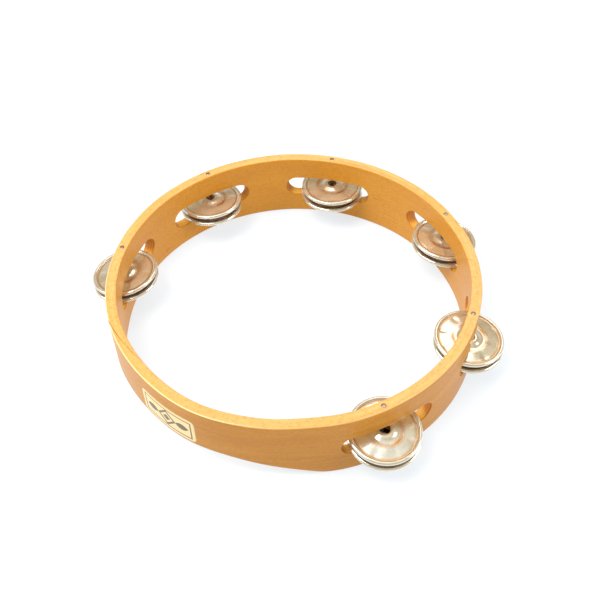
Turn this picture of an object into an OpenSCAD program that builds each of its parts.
// Headless tambourine: one bent wooden hoop with a row of slots, and a pair of
// sheet metal jingles threaded on a pin across each slot. The hand grip is the
// plain stretch of hoop between the first and the last slot, and the lower edge
// is hollowed out there to take the fingers.
//
// Frame: millimetres, +Z up. The origin is the centre of the hoop on the plane
// of its lower rim. The grip is centred on -Y and the pins are mirror-symmetric
// about the YZ plane; the slots lie a little off their pins.
//
// Name endings: _d diameter, _r radius, _l length, _h height, _w width,
// _t thickness, _z height above the lower rim plane.

/* [Hoop] */
// Outside diameter of the hoop
hoop_d = 254; // [240:1:300]
// Height of the hoop from rim to rim
hoop_h = 51.5; // [46:0.5:60]
// Wall thickness of the bent strip
wall = 7.5; // [6:0.5:9]
// Rounding of the four long edges of the strip
edge_r = 1.2; // [0.6:0.1:2]

/* [Grip] */
// Depth of the finger hollow in the lower edge
grip_depth = 14.6; // [6:0.2:18]
// Half length of the straight bottom of the hollow
grip_flat = 30; // [10:1:45]
// Radius of the two long curves that run the hollow out to the rim
grip_r = 139; // [100:1:180]

/* [Stations] */
// Pitch between neighbouring stations in each group of three, in degrees
pitch = 45.5; // [44:0.1:47]
// Pitch between the two groups, straight across from the grip, in degrees
mid_pitch = 49; // [46:0.1:50]
// Length of a slot, end to end
slot_l = 65; // [60:0.5:76]
// Height of a slot, and the diameter of its round ends
slot_h = 16.3; // [16:0.1:18]
// Height of the middle of the slots above the lower rim plane
slot_z = 24.9; // [24:0.1:27]
// How far the middle of each slot lies round from its pin, counter-clockwise positive
slot_round = [4.4, 2.8, 3, 2, 3, -1.4]; // [-5:0.2:5]

/* [Pins] */
// Shank diameter of a pin
pin_d = 2.1; // [1.8:0.1:2.4]
// Head diameter of a pin
pin_head_d = 2.8; // [2.6:0.1:3.4]
// Depth of the head
pin_head_h = 1.2; // [0.8:0.1:2]
// Overall length of a pin
pin_l = 46; // [42:0.5:49]

/* [Jingles] */
// Outside diameter over the rolled rim
disc_d = 47.4; // [44:0.2:50]
// Diameter of the rolled rim bead
bead_d = 2.8; // [2.2:0.1:3]
// Sheet thickness
sheet = 0.8; // [0.6:0.1:0.9]
// Diameter of the base of the raised cup
cup_base_d = 24; // [20:0.2:26]
// Diameter of the crown of the cup
cup_top_d = 9; // [8.5:0.5:11]
// Height of the crown above the middle of the rim
cup_h = 2.3; // [1.8:0.1:3]
// Depth of the channel just inside the bead
channel = 0.5; // [0.2:0.1:0.7]
// Distance from the middle of the bead to the inner edge of that channel
channel_w = 2.6; // [2:0.1:3.5]
// Hole in the crown
hole_d = 7; // [6.6:0.1:8]

/* [Jingle rest pose, one value per station, counter-clockwise from the first] */
// How far each pair leans outwards, in degrees
lean = [8, 5.5, 8, 2, 6, 8]; // [0:0.5:9]
// How far each pair has slid outwards on its pin
slip_out = [1.4, 0.2, 0.8, -1.7, -1.5, 1.4]; // [-1.8:0.1:1.5]
// How far each pair has slid round the hoop, counter-clockwise positive
slip_round = [1.2, -0.2, -1.0, -0.6, 1.0, 1.2]; // [-1.2:0.1:1.2]
// Distance between the rims of each pair, middle to middle
rim_gap = [6.4, 6.6, 6.8, 7, 7, 6.6]; // [6:0.1:7.2]

/* [Label] */
// Length of the label, straight across its face
label_l = 45; // [30:1:50]
// Height of the label
label_h = 22; // [14:0.5:22]
// Thickness of the label
label_t = 0.2; // [0.1:0.05:0.4]
// Corner radius of the label
label_r = 4; // [2:0.5:6]
// Angle from the middle of the grip to the middle of the label
label_angle = 0; // [-20:0.5:20]
// Height of the middle of the label above the lower rim plane
label_z = 28; // [26.5:0.5:32]

/* [Hidden] */

WOOD = [0.90, 0.66, 0.36];
NICKEL = [0.80, 0.78, 0.74];
STEEL = [0.55, 0.54, 0.52];
CARD = [0.93, 0.85, 0.58];

stations = 6;
hoop_r = hoop_d / 2;
mid_r = hoop_r - wall / 2;          // pins stand in the middle of the wall
slot_clear = 0.1;                   // gap between a lower crown and the slot floor
lean_margin = 2;                    // added to the half wall when allowing for lean

// Cutters run past the wood by these amounts.
overshoot = 1;
hollow_overshoot = 5;
slot_overshoot = 10;
slot_cut_l = 40;                    // whole radial length of a slot cutter

// Facets in a full circle
hoop_facets = 240;
disc_facets = 120;
slot_facets = 64;
small_facets = 48;

// Turn from +Y to station i of 1 to 6, counter-clockwise, three each side of +Y.
function station_turn(i) = i < 4 ? -mid_pitch / 2 - (3 - i) * pitch
                                 : mid_pitch / 2 + (i - 4) * pitch;

// Height of the lower disc's rim: its crown hangs just above the floor of the
// slot, raised further the more the pair leans.
function lower_z(i) = slot_z - slot_h / 2 + slot_clear + cup_h
                    + (wall / 2 + lean_margin) * sin(lean[i - 1]);
function upper_z(i) = lower_z(i) + rim_gap[i - 1];

// Turns children drawn at +Y round to station i, where local -X is counter-clockwise.
module at_station(i) {
    rotate([0, 0, station_turn(i)]) children();
}

// Section of the bent strip: a rectangle with rounded corners.
module strip_section() {
    inner_r = hoop_r - wall;
    translate([inner_r + edge_r, 0]) square([wall - 2 * edge_r, hoop_h]);
    translate([inner_r, edge_r]) square([wall, hoop_h - 2 * edge_r]);
    for (x = [inner_r + edge_r, hoop_r - edge_r], z = [edge_r, hoop_h - edge_r])
        translate([x, z]) circle(r = edge_r, $fn = small_facets);
}

// Slot outline in a plane square to the radius.
module slot_outline() {
    straight_l = slot_l - slot_h;
    square([straight_l, slot_h], center = true);
    for (side = [-1, 1])
        translate([side * straight_l / 2, 0]) circle(d = slot_h, $fn = slot_facets);
}

// Finger hollow seen from the grip side: a straight middle and two long arcs.
module hollow_outline() {
    cut_h = grip_depth + hollow_overshoot;
    intersection() {
        union() {
            translate([-grip_flat, -hollow_overshoot]) square([2 * grip_flat, cut_h]);
            for (side = [-1, 1])
                translate([side * grip_flat, grip_depth - grip_r])
                    circle(r = grip_r, $fn = hoop_facets);
        }
        translate([-hoop_r, -hollow_overshoot]) square([hoop_d, cut_h]);
    }
}

// Extrudes an outline outwards through the grip side, its own Y axis upright at height z.
module through_grip(z) {
    translate([0, -hoop_r / 2, z]) rotate([90, 0, 0])
        linear_extrude(height = hoop_r) children();
}

// Shank and head of a pin, driven down from the upper rim with the head flush.
// extra lengthens both upwards, for cutting the pin's hole.
module pin_shape(extra = 0) {
    translate([0, mid_r, hoop_h - pin_l])
        cylinder(d = pin_d, h = pin_l + extra, $fn = small_facets);
    translate([0, mid_r, hoop_h - pin_head_h])
        cylinder(d = pin_head_d, h = pin_head_h + extra, $fn = small_facets);
}

module hoop() {
    color(WOOD)
    difference() {
        rotate_extrude($fn = hoop_facets) strip_section();
        for (i = [1:stations]) at_station(i) {
            translate([-slot_round[i - 1], hoop_r + slot_overshoot, slot_z])
                rotate([90, 0, 0])
                    linear_extrude(height = slot_cut_l) slot_outline();
            pin_shape(extra = overshoot);
        }
        through_grip(z = 0) hollow_outline();
    }
}

module pin(i) {
    color(STEEL) at_station(i) pin_shape();
}

// Half section of a disc about its own axis, crown up, with z = 0 at the middle
// of the rim bead.
module disc_section() {
    rim_r = disc_d / 2 - bead_d / 2;    // middle of the bead
    base_r = cup_base_d / 2;
    crown_r = cup_top_d / 2;
    flank_r = (base_r + crown_r) / 2;   // halfway up the side of the cup
    channel_z = 0.2 - channel;
    // [radius, height] on the upper face, from the rim in to the hole
    upper_face = [
        [rim_r, 0.3],                                                    // in the bead
        [rim_r - bead_d / 2, channel_z], [rim_r - channel_w, channel_z], // channel
        [rim_r - channel_w - 0.9, 0.35], [base_r, 0.5],                  // flange
        [base_r - 1.6, 0.72], [flank_r + 0.2, 1.2], [flank_r - 1.8, 1.85], // cup side
        [crown_r, cup_h - 0.05], [hole_d / 2, cup_h]                     // crown
    ];
    lower_face = [for (k = [len(upper_face) - 1:-1:0]) upper_face[k] - [0, sheet]];
    polygon(concat(upper_face, lower_face));
    translate([rim_r, 0]) circle(d = bead_d, $fn = small_facets);
}

// One disc of station i with its rim at height z, turned over by flip degrees.
module disc(i, z, flip) {
    color(NICKEL)
    at_station(i)
        translate([-slip_round[i - 1], mid_r + slip_out[i - 1], z])
            rotate([-lean[i - 1], 0, 0])
                rotate([flip, 0, 0])
                    rotate_extrude($fn = disc_facets) disc_section();
}

// The lower disc of a pair hangs crown down and the upper one stands crown up.
module lower_jingle(i) {
    disc(i, z = lower_z(i), flip = 180);
}

module upper_jingle(i) {
    disc(i, z = upper_z(i), flip = 0);
}

// Rounded label outline.
module label_outline() {
    square([label_l - 2 * label_r, label_h], center = true);
    square([label_l, label_h - 2 * label_r], center = true);
    for (x = [-1, 1], z = [-1, 1])
        translate([x * (label_l / 2 - label_r), z * (label_h / 2 - label_r)])
            circle(r = label_r, $fn = small_facets);
}

// Thin label wrapped on the outside of the hoop in the grip.
module label() {
    color(CARD)
    rotate([0, 0, label_angle])
    intersection() {
        difference() {
            cylinder(r = hoop_r + label_t, h = hoop_h, $fn = hoop_facets);
            translate([0, 0, -overshoot])
                cylinder(r = hoop_r, h = hoop_h + 2 * overshoot, $fn = hoop_facets);
        }
        through_grip(z = label_z) label_outline();
    }
}

hoop();
label();
pin(1);  // pin_1
pin(2);  // pin_2
pin(3);  // pin_3
pin(4);  // pin_4
pin(5);  // pin_5
pin(6);  // pin_6
lower_jingle(1);  // jingle_1_lower
upper_jingle(1);  // jingle_1_upper
lower_jingle(2);  // jingle_2_lower
upper_jingle(2);  // jingle_2_upper
lower_jingle(3);  // jingle_3_lower
upper_jingle(3);  // jingle_3_upper
lower_jingle(4);  // jingle_4_lower
upper_jingle(4);  // jingle_4_upper
lower_jingle(5);  // jingle_5_lower
upper_jingle(5);  // jingle_5_upper
lower_jingle(6);  // jingle_6_lower
upper_jingle(6);  // jingle_6_upper
